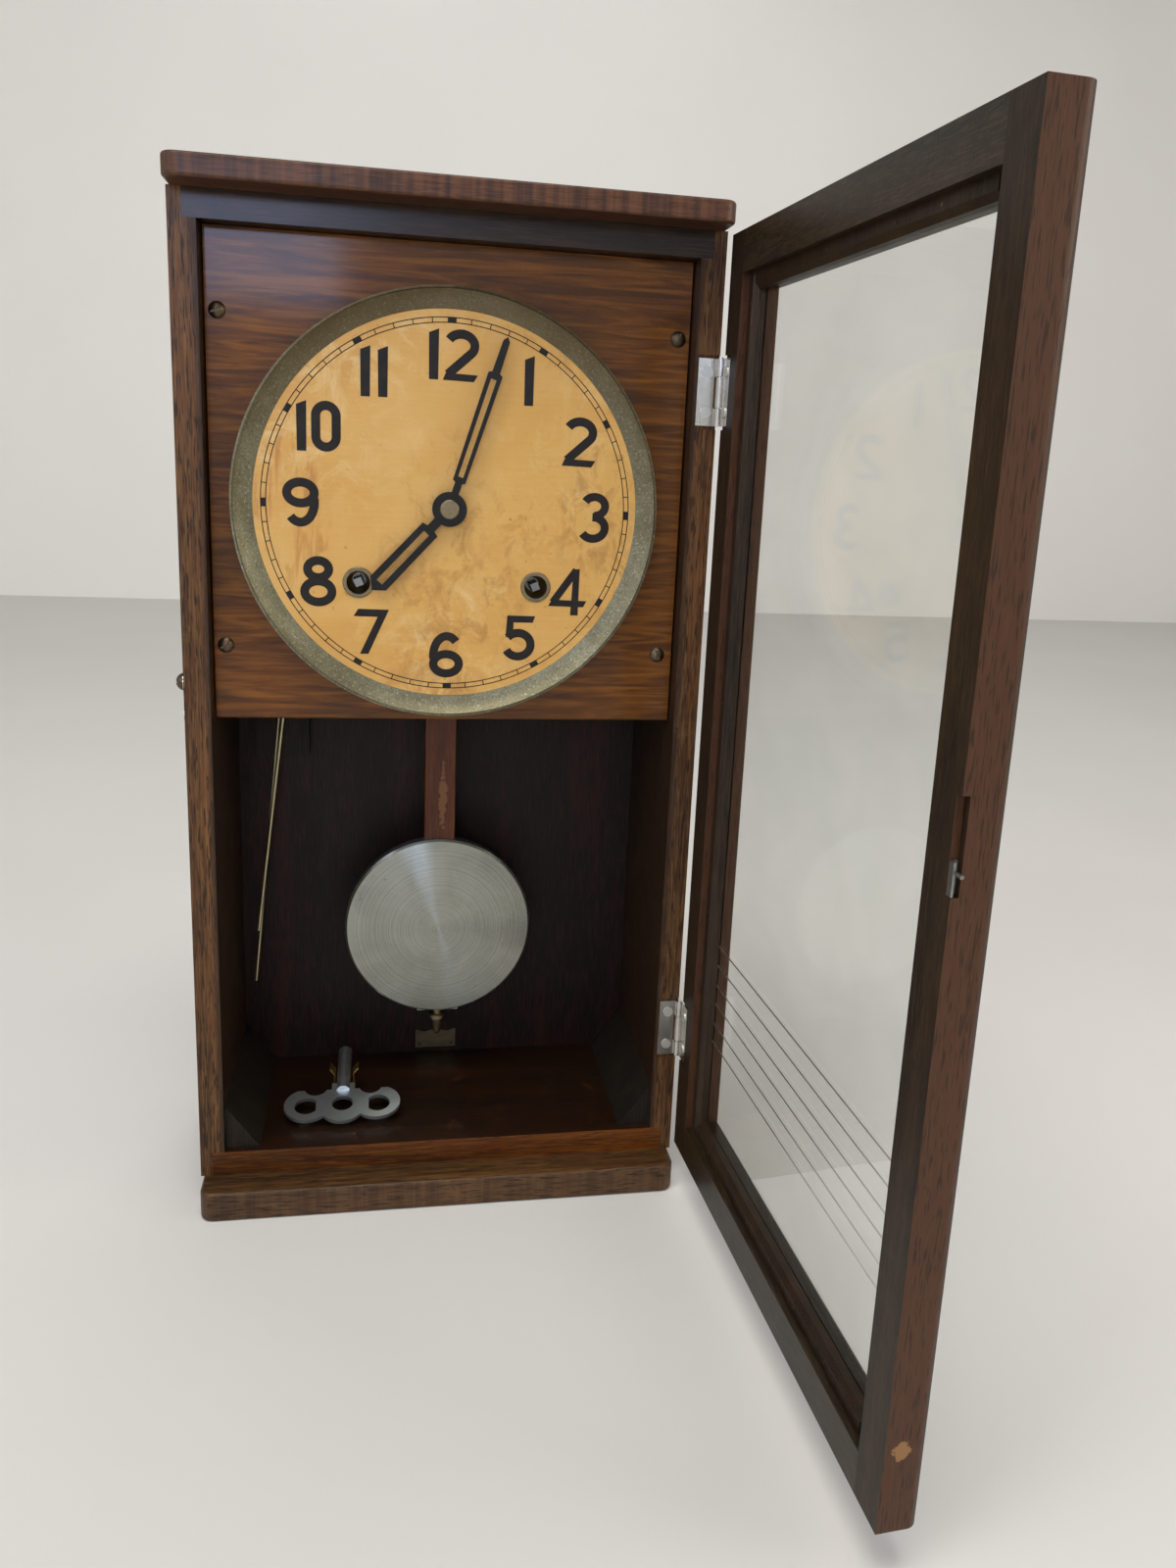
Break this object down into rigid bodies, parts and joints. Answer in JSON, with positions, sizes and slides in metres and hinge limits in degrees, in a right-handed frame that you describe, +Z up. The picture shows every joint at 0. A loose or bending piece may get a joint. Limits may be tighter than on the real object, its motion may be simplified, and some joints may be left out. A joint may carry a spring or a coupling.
{
  "type": "schoolhouse wall clock",
  "caption": "Box-cased wall clock with an open glazed door, round dial, swinging pendulum, rod gong and a spring-driven time and strike movement.",
  "frame": {"origin": "centre of the underside of the base board", "axes": "+X to the right as seen from the front, +Y from the door side into the case, +Z up"},
  "size_m": [0.299, 0.3728, 0.5242],
  "materials": {
    "dark_wood": "dark walnut stain, satin",
    "trim_wood": "reddish brown stained oak",
    "door_wood": "dark olive brown stain",
    "panel_wood": "golden brown varnish, horizontal stripe",
    "rod_wood": "reddish brown varnish",
    "zinc": "dull galvanised sheet",
    "dial_enamel": "aged cream paint",
    "glass": "clear sheet glass",
    "nickel_steel": "nickel plated, worn",
    "bob_metal": "circular brushed",
    "brass": "tarnished brass",
    "steel": "dull steel",
    "black_hands": "blued black"
  },
  "bodies": {
    "case": {"left_side": "dark_wood", "right_side": "dark_wood", "case_floor": "dark_wood", "case_top": "dark_wood", "base_board": "trim_wood", "top_cap": "trim_wood", "back_panel": "dark_wood", "hanger_plate": "steel", "glue_blocks": "dark_wood", "dial_panel": "panel_wood", "case_fasteners": "nickel_steel", "dial_pan": "zinc", "dial_plate": "dial_enamel", "winding_eyelets": "nickel_steel", "hinge_case_leaves": "nickel_steel", "hinge_pins": "nickel_steel", "beat_plate": "brass", "gong": "steel", "key_clip": "brass", "movement_front_plate": "brass", "movement_back_plate": "brass", "movement_pillars": "steel", "suspension_cock": "brass", "mainsprings": "steel"},
    "door": {"door_hinge_stile": "door_wood", "door_latch_stile": "door_wood", "door_top_rail": "door_wood", "door_bottom_rail": "door_wood", "door_glass": "glass", "glazing_beads": "door_wood", "door_fasteners": "nickel_steel", "latch_keeper": "brass", "hinge_door_leaves": "nickel_steel"},
    "side_hook": {"side_hook": "brass"},
    "winding_key": {"winding_key": "nickel_steel"},
    "minute_hand": {"minute_hand": "black_hands", "cannon_pinion": "brass", "hand_nut": "nickel_steel"},
    "hour_hand": {"hour_hand": "black_hands", "hour_wheel": "brass"},
    "minute_wheel": {"minute_wheel": "brass"},
    "pendulum": {"suspension_spring": "steel", "pendulum_rod": "rod_wood"},
    "bob": {"pendulum_bob": "bob_metal"},
    "rating_nut": {"rating_nut": "brass"},
    "anchor": {"anchor": "steel"},
    "escape_wheel": {"escape_wheel": "brass"},
    "third_wheel": {"third_wheel": "brass"},
    "centre_wheel": {"centre_wheel": "brass"},
    "second_wheel": {"second_wheel": "brass"},
    "time_great_wheel": {"time_great_wheel": "brass"},
    "time_winding_arbor": {"time_winding_arbor": "steel"},
    "time_click": {"time_click": "steel"},
    "strike_great_wheel": {"strike_great_wheel": "brass"},
    "strike_winding_arbor": {"strike_winding_arbor": "steel"},
    "strike_click": {"strike_click": "steel"},
    "strike_pin_wheel": {"strike_pin_wheel": "brass"},
    "strike_locking_wheel": {"strike_locking_wheel": "brass"},
    "strike_fly": {"strike_fly": "brass"},
    "hammer": {"hammer": "steel"}
  },
  "joints": [
    {"name": "door_swing", "type": "hinge", "parent": "case", "child": "door", "pos_m": [0.1303, -0.046, 0], "axis": [0, 0, 1], "range_deg": [-93.3, 84]},
    {"name": "hook_turn", "type": "hinge", "parent": "case", "child": "side_hook", "pos_m": [0, -0.033, 0.286], "axis": [-1, 0, 0], "range_deg": [0, 110]},
    {"name": "key_lift", "type": "slide", "parent": "case", "child": "winding_key", "axis": [0, 0, 1], "range_m": [0, 0.04]},
    {"name": "minute_hand_turn", "type": "hinge", "parent": "case", "child": "minute_hand", "pos_m": [-0.002, 0, 0.3758], "axis": [0, -1, 0], "continuous": true},
    {"name": "hour_hand_turn", "type": "hinge", "parent": "case", "child": "hour_hand", "pos_m": [-0.002, 0, 0.3758], "axis": [0, -1, 0], "continuous": true},
    {"name": "minute_wheel_turn", "type": "hinge", "parent": "case", "child": "minute_wheel", "pos_m": [-0.002, 0, 0.3618], "axis": [0, -1, 0], "continuous": true},
    {"name": "pendulum_swing", "type": "hinge", "parent": "case", "child": "pendulum", "pos_m": [-0.002, 0, 0.4192], "axis": [0, -1, 0], "range_deg": [-4.5, 4.5]},
    {"name": "anchor_rock", "type": "hinge", "parent": "case", "child": "anchor", "pos_m": [-0.002, 0, 0.4192], "axis": [0, -1, 0], "range_deg": [-4.5, 4.5]},
    {"name": "escape_wheel_turn", "type": "hinge", "parent": "case", "child": "escape_wheel", "pos_m": [-0.002, 0, 0.399], "axis": [0, -1, 0], "continuous": true},
    {"name": "third_wheel_turn", "type": "hinge", "parent": "case", "child": "third_wheel", "pos_m": [0.01581, 0, 0.39035], "axis": [0, -1, 0], "continuous": true},
    {"name": "centre_wheel_turn", "type": "hinge", "parent": "case", "child": "centre_wheel", "pos_m": [-0.002, 0, 0.3758], "axis": [0, -1, 0], "continuous": true},
    {"name": "second_wheel_turn", "type": "hinge", "parent": "case", "child": "second_wheel", "pos_m": [0.01913, 0, 0.36576], "axis": [0, -1, 0], "continuous": true},
    {"name": "time_great_wheel_turn", "type": "hinge", "parent": "case", "child": "time_great_wheel", "pos_m": [0.0423, 0, 0.3382], "axis": [0, -1, 0], "continuous": true},
    {"name": "time_winding", "type": "hinge", "parent": "time_great_wheel", "child": "time_winding_arbor", "pos_m": [0.0423, 0, 0.3382], "axis": [0, -1, 0], "continuous": true},
    {"name": "time_click_lift", "type": "hinge", "parent": "time_great_wheel", "child": "time_click", "pos_m": [0.05529, 0, 0.3457], "axis": [0, 1, 0], "range_deg": [0, 10], "stiffness_Nm_per_rad": 0.002},
    {"name": "bob_height", "type": "slide", "parent": "pendulum", "child": "bob", "axis": [0, 0, 1], "range_m": [-0.005, 0.005]},
    {"name": "rating_nut_turn", "type": "hinge", "parent": "bob", "child": "rating_nut", "pos_m": [-0.002, 0.0225, 0], "axis": [0, 0, 1], "range_deg": [-2571.5, 2571.5]},
    {"name": "strike_fly_turn", "type": "hinge", "parent": "case", "child": "strike_fly", "pos_m": [-0.03103, 0, 0.40066], "axis": [0, -1, 0], "continuous": true},
    {"name": "strike_locking_wheel_turn", "type": "hinge", "parent": "case", "child": "strike_locking_wheel", "pos_m": [-0.03755, 0, 0.38936], "axis": [0, -1, 0], "continuous": true},
    {"name": "strike_pin_wheel_turn", "type": "hinge", "parent": "case", "child": "strike_pin_wheel", "pos_m": [-0.0463, 0, 0.3742], "axis": [0, -1, 0], "continuous": true},
    {"name": "strike_great_wheel_turn", "type": "hinge", "parent": "case", "child": "strike_great_wheel", "pos_m": [-0.0463, 0, 0.3382], "axis": [0, -1, 0], "continuous": true},
    {"name": "strike_winding", "type": "hinge", "parent": "strike_great_wheel", "child": "strike_winding_arbor", "pos_m": [-0.0463, 0, 0.3382], "axis": [0, -1, 0], "continuous": true},
    {"name": "strike_click_lift", "type": "hinge", "parent": "strike_great_wheel", "child": "strike_click", "pos_m": [-0.05929, 0, 0.3457], "axis": [0, -1, 0], "range_deg": [0, 10], "stiffness_Nm_per_rad": 0.002},
    {"name": "hammer_lift", "type": "hinge", "parent": "case", "child": "hammer", "pos_m": [-0.063, 0, 0.3918], "axis": [0, -1, 0], "range_deg": [0, 8], "stiffness_Nm_per_rad": 0.02, "springref_deg": -8.59}
  ],
  "couplings": [
    {"joint": "hour_hand_turn", "follows": "minute_hand_turn", "ratio": 0.083333},
    {"joint": "minute_wheel_turn", "follows": "minute_hand_turn", "ratio": -0.33333},
    {"joint": "anchor_rock", "follows": "pendulum_swing", "ratio": 1},
    {"joint": "escape_wheel_turn", "follows": "pendulum_swing", "ratio": 0.625},
    {"joint": "third_wheel_turn", "follows": "pendulum_swing", "ratio": -0.0625},
    {"joint": "centre_wheel_turn", "follows": "pendulum_swing", "ratio": 0.0059524},
    {"joint": "second_wheel_turn", "follows": "pendulum_swing", "ratio": -0.0019841},
    {"joint": "time_great_wheel_turn", "follows": "pendulum_swing", "ratio": 0.00049603},
    {"joint": "strike_locking_wheel_turn", "follows": "strike_fly_turn", "ratio": -0.16},
    {"joint": "strike_pin_wheel_turn", "follows": "strike_fly_turn", "ratio": 0.026667},
    {"joint": "strike_great_wheel_turn", "follows": "strike_fly_turn", "ratio": -0.0066667},
    {"joint": "rating_nut_turn", "follows": "bob_height", "rad_per_m": 8976}
  ]
}
